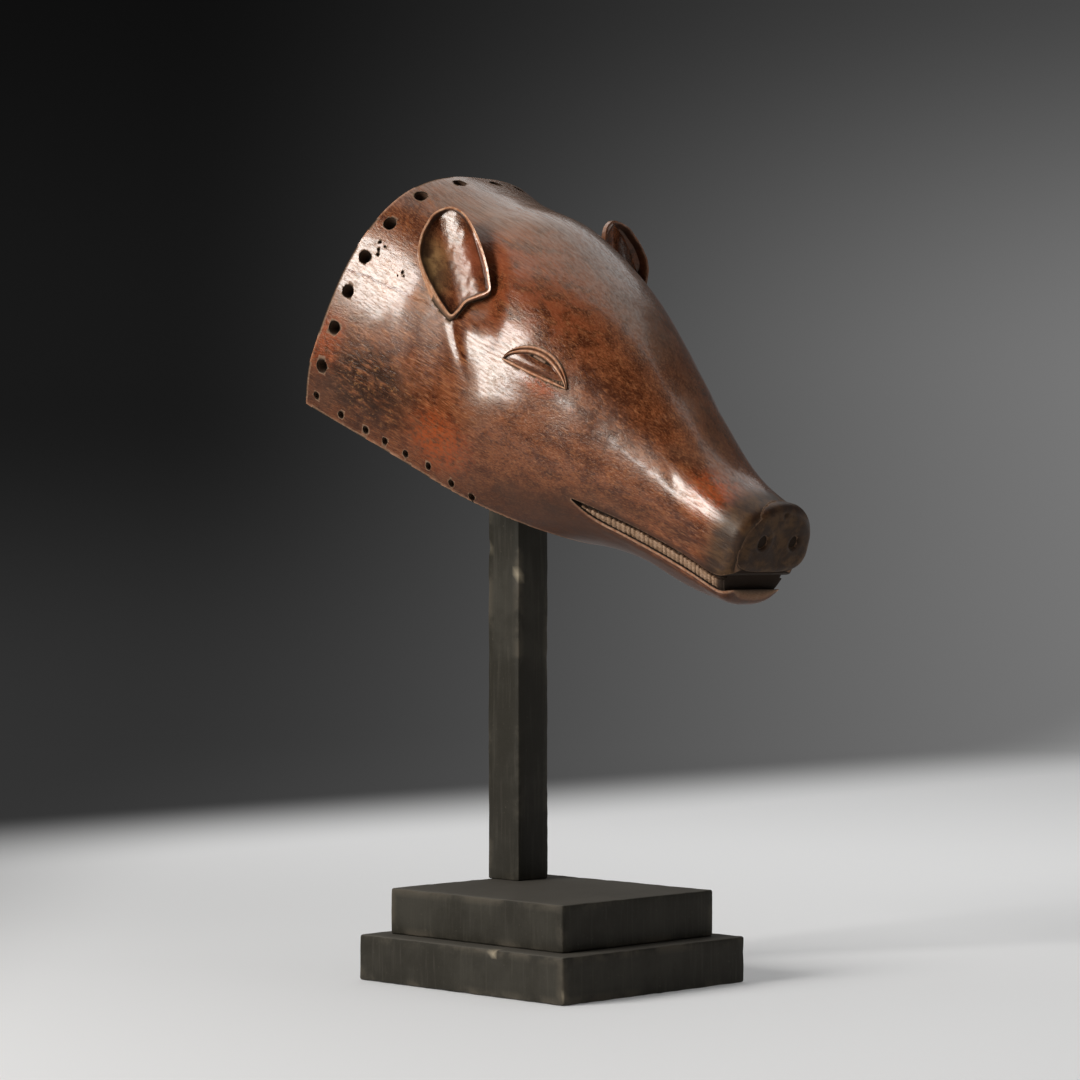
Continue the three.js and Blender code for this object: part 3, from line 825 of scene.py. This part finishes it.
class Finish:
    """A material and the nodes that make it."""

    def __init__(self, name):
        self.material = bpy.data.materials.new(name)
        self.material.use_nodes = True
        self.tree = self.material.node_tree
        self.shader = self.tree.nodes["Principled BSDF"]
        self.links = self.tree.links

    def node(self, kind, settings=None, values=None):
        """Add a node: its settings first, then the values or links of its inputs."""
        made = self.tree.nodes.new(kind)
        for key, value in (settings or {}).items():
            setattr(made, key, value)
        for key, value in (values or {}).items():
            self.feed(made.inputs[key], value)
        return Made(self, made)

    def feed(self, socket, value):
        """Link a number or a socket to an input, or set its value."""
        if isinstance(value, Number):
            value = value.socket
        if isinstance(value, bpy.types.NodeSocket):
            self.links.new(value, socket)
        elif isinstance(value, (tuple, list)) and socket.type == "RGBA" and len(value) == 3:
            socket.default_value = (*value, 1)
        else:
            socket.default_value = value

    def set(self, name, value):
        self.feed(self.shader.inputs[name], value)

    def place(self):
        """Millimetres in the head's frame."""
        coordinates = self.node("ShaderNodeTexCoord").socket("Object")
        values = {0: coordinates, 1: tuple(HEAD_PLACE), 2: (0, NOSE_PITCH, 0), 3: (MM, MM, MM)}
        return self.node("ShaderNodeMapping", {"vector_type": "TEXTURE"}, values).socket(0)

    def vectors(self, operation, *parts):
        """A Vector Math node over one or two vectors."""
        return self.node("ShaderNodeVectorMath", {"operation": operation}, dict(enumerate(parts)))

    def stretched(self, vector, scale):
        return self.vectors("MULTIPLY", vector, scale).socket(0)

    def noise(self, vector, scale=1.0, detail=4.0, roughness=0.5, distortion=0.0):
        values = {"Vector": vector, "Scale": scale, "Detail": detail, "Roughness": roughness,
                  "Distortion": distortion}
        return self.node("ShaderNodeTexNoise", None, values).number(0)

    def mix(self, first, second, amount):
        values = {0: amount, 6: first, 7: second}
        return self.node("ShaderNodeMix", {"data_type": "RGBA"}, values).socket(2)

    def spot(self, vector, centre, size):
        """1 at a centre in the head's frame, fading to 0 at one size away."""
        away = self.vectors("SUBTRACT", vector, centre).socket(0)
        shares = self.vectors("DIVIDE", away, size).socket(0)
        return self.vectors("LENGTH", shares).number(1).between(1.0, 0.25)

    def parts(self, socket, kind):
        """The three parts of a colour or a vector as numbers."""
        node = self.node(kind, None, {0: socket})
        return [node.number(i) for i in range(3)]

    def bump(self, height, strength, distance):
        values = {"Strength": strength, "Distance": distance, "Height": height}
        return self.node("ShaderNodeBump", None, values).socket(0)


def srgb(code):
    """Linear colour of a six-digit colour code."""
    parts = [int(code[i:i + 2], 16) / 255 for i in (0, 2, 4)]
    return tuple(p / 12.92 if p <= 0.04045 else ((p + 0.055) / 1.055) ** 2.4 for p in parts)


# Places in the head's frame where the wood is rubbed orange, and their half sizes
RUBBED_ORANGE = (
    ((115, -80, 26), (42, 40, 26)),
    ((296, -27, 76), (26, 26, 22)),
    ((168, -64, 90), (20, 20, 9)),
    ((9, -94, 46), (16, 20, 30)),
)


def patinated_wood():
    """Dark reddish wood, polished by handling, orange where rubbed and greyish above with a painted
    sheen; painted shade below, on the near side's rear, on the far ear and in recesses.
    """
    wood = Finish("patinated wood")
    place = wood.place()
    x, y, z = wood.parts(place, "ShaderNodeSeparateXYZ")
    marks = wood.node("ShaderNodeAttribute", {"attribute_name": "marks"})
    wear, inside, tooth = wood.parts(marks.socket("Color"), "ShaderNodeSeparateColor")
    # The marks' alpha is painted shade for recesses.
    recess_shade = marks.number("Alpha")

    grain = wood.noise(wood.stretched(place, (0.05, 0.42, 0.42)), 1, 6, 0.62, 0.3)
    fibre = wood.noise(wood.stretched(place, (0.16, 1.5, 1.5)), 1, 3, 0.6)
    streak = wood.noise(wood.stretched(place, (0.03, 0.75, 0.75)), 1, 4, 0.65, 0.2)
    mottle = wood.noise(wood.stretched(place, (0.06, 0.11, 0.11)), 1, 6, 0.65, 0.4)
    broad = wood.noise(wood.stretched(place, (0.013, 0.02, 0.02)), 1, 3, 0.5)
    speck = wood.noise(wood.stretched(place, (0.25, 0.5, 0.5)), 1, 4, 0.7)

    colour = wood.mix(srgb("4a2211"), srgb("774124"), mottle.between(0.34, 0.64))
    shaded_rear = wood.spot(place, (92, -90, 84), (54, 40, 24))
    colour = wood.mix(colour, srgb("45200f"), shaded_rear * 0.6)
    colour = wood.mix(colour, srgb("a5683f"), grain.between(0.48, 0.72) * 0.4)
    colour = wood.mix(colour, srgb("b07a52"), fibre.between(0.52, 0.68) * 0.35)
    colour = wood.mix(colour, srgb("200d07"), fibre.between(0.48, 0.34) * 0.6)
    colour = wood.mix(colour, srgb("5f4637"), broad.between(0.50, 0.64) * 0.35)
    red_flank = wood.spot(place, (120, -50, 135), (95, 50, 60))
    colour = wood.mix(colour, srgb("7d3b20"), red_flank * mottle.between(0.40, 0.6) * 0.6)
    normal = wood.node("ShaderNodeNewGeometry").socket("Normal")
    up = wood.parts(normal, "ShaderNodeSeparateXYZ")[2]
    # The crown's upward faces are painted lighter and greyish: a greyish film with a painted sheen from
    # above.
    crown = up.between(0.38, 0.95) * x.between(335, 235)
    colour = wood.mix(colour, srgb("84654e"), crown * (0.5 + streak.between(0.4, 0.6) * 0.3))

    orange = 0
    for centre, size in RUBBED_ORANGE:
        orange = wood.spot(place, centre, size) + orange
    orange = orange * speck.between(0.36, 0.6) * (1 - inside)
    colour = wood.mix(colour, srgb("9c451c"), orange * 0.75)

    clouded = grain * 0.6 + mottle * 0.4
    dark_rear = wood.spot(place, (46, -84, 34), (62, 40, 42)) * clouded.between(0.66, 0.47)
    colour = wood.mix(colour, srgb("1e0f08"), dark_rear * 0.85)
    flecks = wood.spot(place, (48, -84, 34), (60, 40, 38)) * speck.between(0.56, 0.66)
    colour = wood.mix(colour, srgb("98683f"), flecks * 0.6)
    dark_flank = wood.spot(place, (215, -42, 96), (50, 40, 36)) * clouded.between(0.62, 0.44)
    colour = wood.mix(colour, srgb("3c1d10"), dark_flank * 0.6)
    # Painted shade: faces turned downwards are painted darker.
    colour = wood.mix(colour, srgb("2c150c"), up.between(0.0, -0.55) * (1 - inside) * 0.75)
    snout = x.between(301, 320) * z.between(28, 38)
    dark_snout = wood.mix(srgb("1f1108"), srgb("45301a"), mottle.between(0.42, 0.64))
    colour = wood.mix(colour, dark_snout, snout * (0.8 + speck * 0.2))

    ear_floor = wood.spot(place, (66, -82, 129), (26, 15, 42))
    ear_colour = wood.mix(srgb("5a4029"), srgb("957349"), mottle.between(0.38, 0.62))
    colour = wood.mix(colour, ear_colour, ear_floor * 0.85)
    ear_side = wood.spot(place, (80, -64, 136), (16, 10, 40))
    colour = wood.mix(colour, srgb("87462f"), ear_side * 0.6)
    # Painted shade: the far ear is painted darker in mottled patches.
    far_ear_shade = wood.spot(place, (78, 90, 134), (46, 46, 52))
    colour = wood.mix(colour, srgb("33190f"), far_ear_shade * mottle.between(0.66, 0.44) * 0.8)

    rubbed = wood.noise(wood.stretched(place, (0.3, 0.3, 0.12)), 1, 4, 0.7).between(0.35, 0.7)
    colour = wood.mix(colour, wood.mix(srgb("b87b57"), srgb("eabb98"), rubbed), wear * 0.95)
    colour = wood.mix(colour, wood.mix(srgb("4a2f20"), srgb("6f4a33"), grain), inside)
    colour = wood.mix(colour, wood.mix(srgb("84654a"), srgb("b2937a"), fibre.between(0.35, 0.65)), tooth)
    # Painted shade: recesses are painted near black.
    colour = wood.mix(colour, srgb("1c110a"), recess_shade)
    wood.set("Base Color", colour)

    matte_ear = wood.spot(place, (74, -82, 129), (36, 24, 52)) * (1 - wear)
    roughness = 0.17 + mottle.between(0.3, 0.7) * 0.05 + fibre * 0.06
    roughness = roughness + up.between(0.0, -0.5) * 0.3 + inside * 0.35 + tooth * 0.25
    roughness = roughness + snout * 0.25 + recess_shade * 0.35 + matte_ear * 0.2
    wood.set("Roughness", roughness)
    polished = (1 - inside) * (1 - tooth) * (1 - recess_shade) * (1 - snout) * (1 - matte_ear * 0.9)
    polished = polished * up.between(-0.45, 0.05)
    wood.set("Coat Weight", polished * (0.1 + streak.between(0.38, 0.58) * 0.6))
    wood.shader.inputs["Coat Roughness"].default_value = 0.13
    wood.shader.inputs["Specular IOR Level"].default_value = 0.42
    wood.shader.inputs["Specular Tint"].default_value = (1, 0.86, 0.72, 1)

    wander = (wood.noise(wood.stretched(place, (0.09, 0, 0)), 1, 3, 0.6) - 0.5) * 7
    off_crack = z - (95.5 + x * 0.065) - wander
    crack = abs(off_crack).between(0.8, 0.15)
    crack = crack * x.between(84, 60) * y.between(-40, -60)
    height = fibre * 0.35 + grain * 0.45 + streak * 0.5 + speck * 0.3 - crack * 0.9
    wood.set("Normal", wood.bump(height, 0.4, 0.0007))
    return wood.material


def black_paint():
    """Thin matte black-brown paint, brushed on, rubbed pale at edges and chips."""
    paint = Finish("brushed black paint")
    coordinates = paint.node("ShaderNodeTexCoord").socket("Object")
    marks = paint.node("ShaderNodeAttribute", {"attribute_name": "marks"}).socket("Color")
    chips, edges, _ = paint.parts(marks, "ShaderNodeSeparateColor")
    brushed = paint.noise(paint.stretched(coordinates, (60, 60, 420)), 1, 4, 0.6, 0.2)
    upright = paint.noise(paint.stretched(coordinates, (420, 420, 22)), 1, 4, 0.6, 0.2)
    cloudy = paint.noise(coordinates, 28, 5, 0.6)
    dust = paint.noise(coordinates, 520, 2, 0.6)
    colour = paint.mix(srgb("2a2720"), srgb("37342d"), cloudy.between(0.35, 0.68))
    colour = paint.mix(colour, srgb("423e36"), upright.between(0.5, 0.72) * 0.5)
    colour = paint.mix(colour, srgb("575145"), dust.between(0.66, 0.78) * 0.4)
    colour = paint.mix(colour, srgb("5b5347"), edges * cloudy.between(0.45, 0.6) * 0.5)
    normal = paint.node("ShaderNodeNewGeometry").socket("Normal")
    up = paint.parts(normal, "ShaderNodeSeparateXYZ")[2]
    # The upward faces are painted lighter, as dust and as painted light from above.
    colour = paint.mix(colour, srgb("524e47"), up.between(0.5, 0.9) * (0.6 + cloudy * 0.6))
    colour = paint.mix(colour, srgb("8f8470"), chips)
    paint.set("Base Color", colour)
    paint.set("Roughness", 0.46 + cloudy * 0.22)
    paint.shader.inputs["Specular IOR Level"].default_value = 0.15
    height = brushed * 0.3 + upright * 0.35 + dust * 0.25 - chips * 0.8
    paint.set("Normal", paint.bump(height, 0.35, 0.0005))
    return paint.material


def painted_piece(name, node, rounding, spacing, chips):
    """A painted wooden bar or block: fine faces, worn edges and small chips."""
    low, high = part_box(node)
    shape = bmesh.new()
    bmesh.ops.create_cube(shape, size=1)
    for vertex in shape.verts:
        for axis in range(3):
            vertex.co[axis] = (low[axis] + high[axis]) / 2 + vertex.co[axis] * (high[axis] - low[axis])
    if node == "post":
        slope_post_top(shape, low, high)
    edges = list(shape.edges)
    bmesh.ops.bevel(shape, geom=edges, offset=rounding, segments=4, profile=0.5, affect="EDGES")
    divide_faces(shape, low, high, rounding, spacing)
    mesh = bpy.data.meshes.new(name)
    shape.to_mesh(mesh)
    shape.free()
    piece = bpy.data.objects.new(name, mesh)
    bpy.context.scene.collection.objects.link(piece)
    wear_piece(piece, low, high, rounding, chips)
    return piece


def divide_faces(shape, low, high, rounding, spacing):
    """Cut the faces of a bar or block into a grid fine enough to wear."""
    for axis in range(3):
        run = high[axis] - low[axis] - 2 * rounding
        steps = int(run / spacing)
        for i in range(1, steps + 1):
            place = [0, 0, 0]
            place[axis] = low[axis] + rounding + run * i / (steps + 1)
            facing = [0, 0, 0]
            facing[axis] = 1
            geometry = shape.verts[:] + shape.edges[:] + shape.faces[:]
            bmesh.ops.bisect_plane(shape, geom=geometry, plane_co=place, plane_no=facing)


def slope_post_top(shape, low, high):
    """The post's top is cut to the crown's slope."""
    drop = (high.x - low.x) * math.tan(NOSE_PITCH)
    for vertex in shape.verts:
        if vertex.co.z > (low.z + high.z) / 2 and vertex.co.x > (low.x + high.x) / 2:
            vertex.co.z = high.z - drop


def wear_piece(piece, low, high, rounding, chips):
    """Uneven edges and chips, moved in from the box, and their colour layer."""
    mesh = piece.data
    points = mesh_points(mesh)
    middle = (np.array(low) + np.array(high)) / 2
    half = (np.array(high) - np.array(low)) / 2
    inset = half - np.abs(points - middle)
    near_faces = np.sort(inset, axis=1)
    edge = 1 - ease(near_faces[:, 1], rounding * 0.6, rounding * 2.2)
    uneven = waves(points / MM, 6, 22, 30, seed=7) * 0.5 + 0.5
    inward = np.sign(middle - points) * (inset < rounding * 2.2)
    points += inward * (edge * uneven * EDGE_WEAR)[:, None]
    chipped = np.zeros(len(points))
    for x, y, z, size in chips:
        away = np.linalg.norm((points - (x, y, z)) / size, axis=1)
        bite = 1 - ease(away, 0.5, 1.0)
        points += inward * (bite * size * CHIP_BITE)[:, None]
        chipped = np.maximum(chipped, 1 - ease(away, 0.55, 0.9))
    mesh.vertices.foreach_set("co", points.ravel())
    mesh.update()
    set_marks(mesh, np.stack([chipped, edge, 0 * edge, 1 + 0 * edge], -1))


def finish_piece(piece, node, material, degrees):
    """Give a piece its material and smooth shading, hide the part that it stands for and attach it to
    the root body.
    """
    piece.data.materials.clear()
    piece.data.materials.append(material)
    smooth(piece, degrees)
    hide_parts(node)
    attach(piece, "root")


def build_object():
    """The mask and the three pieces of its stand."""
    wood = patinated_wood()
    paint = black_paint()
    head = carve_head()
    wear_rims(head)
    finish_piece(head, "mask", wood, HEAD_CREASE)
    post_chips = [
        (post_low.x, post_low.y, 0.274, 0.0030),
        (post_high.x, post_low.y, 0.254, 0.0040),
        (post_high.x, post_high.y, 0.198, 0.0035),
    ]
    low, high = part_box("lower_block")
    block_chips = [(low.x + 0.118, low.y, high.z, 0.004), (high.x, low.y, low.z + 0.004, 0.003)]
    stand = (
        ("post", 0.0008, 0.006, post_chips),
        ("upper_block", 0.0012, 0.005, []),
        ("lower_block", 0.0016, 0.005, block_chips),
    )
    for node, rounding, spacing, chips in stand:
        piece = painted_piece(node + "_painted", node, rounding, spacing, chips)
        finish_piece(piece, node, paint, STAND_CREASE)


def add_camera():
    """Long lens, level, looking at the corner of the base from the photograph's side."""
    azimuth = math.radians(45)
    distance = 2.2
    sideways = -0.0071
    height = 0.2765
    focal_pixels = 3510
    frame_pixels = 1080
    data = bpy.data.cameras.new("camera")
    data.sensor_width = 36
    data.lens = focal_pixels / frame_pixels * data.sensor_width
    camera = bpy.data.objects.new("camera", data)
    right = Vector((math.cos(azimuth), math.sin(azimuth), 0))
    back = Vector((math.sin(azimuth), -math.cos(azimuth), 0))
    camera.location = back * distance + right * sideways + Vector((0, 0, height))
    camera.rotation_euler = (math.pi / 2, 0, azimuth)
    bpy.context.scene.collection.objects.link(camera)
    bpy.context.scene.camera = camera


def add_light(name, place, target, width, height, power, colour=(1, 1, 1)):
    """A soft box of a width and height in metres, turned to its target."""
    data = bpy.data.lights.new(name, "AREA")
    data.shape = "RECTANGLE"
    data.size = width
    data.size_y = height
    data.energy = power
    data.color = colour
    light = bpy.data.objects.new(name, data)
    light.location = place
    direction = Vector(target) - Vector(place)
    light.rotation_euler = direction.to_track_quat("-Z", "Y").to_euler()
    bpy.context.scene.collection.objects.link(light)


def room_mesh():
    """Round room that is open above: a floor that bends up into a wall."""
    radius = 3.3
    bend = 0.8
    bend_steps = 12
    height = 3.2
    around = 96
    profile = [(0.3, 0.0), (1.0, 0.0), (1.8, 0.0), (radius - bend, 0.0)]
    for i in range(1, bend_steps + 1):
        turn = i / bend_steps * math.pi / 2
        profile.append((radius - bend + bend * math.sin(turn), bend * (1 - math.cos(turn))))
    profile.append((radius, height))
    points = []
    for from_middle, up in profile:
        for j in range(around):
            turn = 2 * math.pi * j / around
            points.append((from_middle * math.cos(turn), from_middle * math.sin(turn), up))
    faces = [tuple(range(around))]
    for i in range(len(profile) - 1):
        for j in range(around):
            k = (j + 1) % around
            faces.append((i * around + j, (i + 1) * around + j, (i + 1) * around + k, i * around + k))
    room = make_object("studio_room", points, faces)
    room.data.shade_smooth()
    return room


def room_paper():
    """Pale paper near the object that turns into a dark back, with painted light and shade: the floor is
    painted lighter and glows brighter to the right and further back, the paper is painted dark where the
    light falls off, and the back glows lighter to the right and low.
    """
    paper = Finish("studio paper")
    coordinates = paper.node("ShaderNodeTexCoord").socket("Object")
    x, y, z = paper.parts(coordinates, "ShaderNodeSeparateXYZ")
    right = (x + y) * math.sqrt(0.5)
    away = (y - x) * math.sqrt(0.5)
    # Painted shade: the paper is painted dark where the light falls off, far back and up the wall.
    painted_falloff = (away - right * 1.09).between(1.2, 1.9)
    wall = z.between(0.01, 0.4)
    dark = painted_falloff + wall - painted_falloff * wall
    # Painted light: the floor is painted lighter to the right.
    floor = paper.mix(srgb("a2a2a2"), srgb("dadada"), right.between(-0.62, -0.3))
    floor = paper.mix(floor, srgb("e2e2e2"), right.between(-0.1, 0.5))
    paper.set("Base Color", paper.mix(floor, (0, 0, 0), dark))
    # Painted light: the floor glows brighter to the right and further back, the back lighter to the
    # right and low.
    painted_floor_glow = paper.mix(srgb("343434"), srgb("6c6c6c"), right.between(-0.4, 0.3))
    painted_floor_glow = paper.mix(painted_floor_glow, srgb("8c8c8c"), (away + right * 0.5).between(0.1, 1.2))
    side = right.between(-0.6, 1.3)
    low = paper.mix(srgb("303030"), srgb("7e7e7e"), side)
    middle = paper.mix(srgb("171717"), srgb("7f7f7f"), side)
    top = paper.mix(srgb("0c0c0c"), srgb("464646"), side)
    back = paper.mix(low, middle, z.between(0.0, 0.5))
    back = paper.mix(back, top, z.between(0.5, 1.2))
    paper.set("Emission Color", paper.mix(painted_floor_glow, back, dark))
    paper.shader.inputs["Emission Strength"].default_value = 1.0
    paper.shader.inputs["Roughness"].default_value = 0.9
    paper.shader.inputs["Specular IOR Level"].default_value = 0.1
    return paper.material


def add_studio():
    """The room and its lights: a soft box from the left, a wide one above, a small one behind."""
    room = room_mesh()
    room.data.materials.append(room_paper())
    world = bpy.data.worlds.new("studio")
    world.use_nodes = True
    world.node_tree.nodes["Background"].inputs["Color"].default_value = (0.9, 0.95, 1.0, 1)
    world.node_tree.nodes["Background"].inputs["Strength"].default_value = 0.02
    bpy.context.scene.world = world
    bpy.context.scene.view_settings.view_transform = "Standard"
    middle = (0, 0.02, 0.38)
    add_light("key", (-0.46, -1.91, 1.10), middle, 0.85, 1.0, 50, (1, 0.985, 0.965))
    add_light("top", (-0.50, 0.40, 2.05), (0, 0, 0), 2.6, 2.6, 21)
    add_light("rim", (1.20, 1.10, 1.00), (0.12, 0.03, 0.28), 0.4, 0.4, 0.7)


add_camera()
build_object()
add_studio()
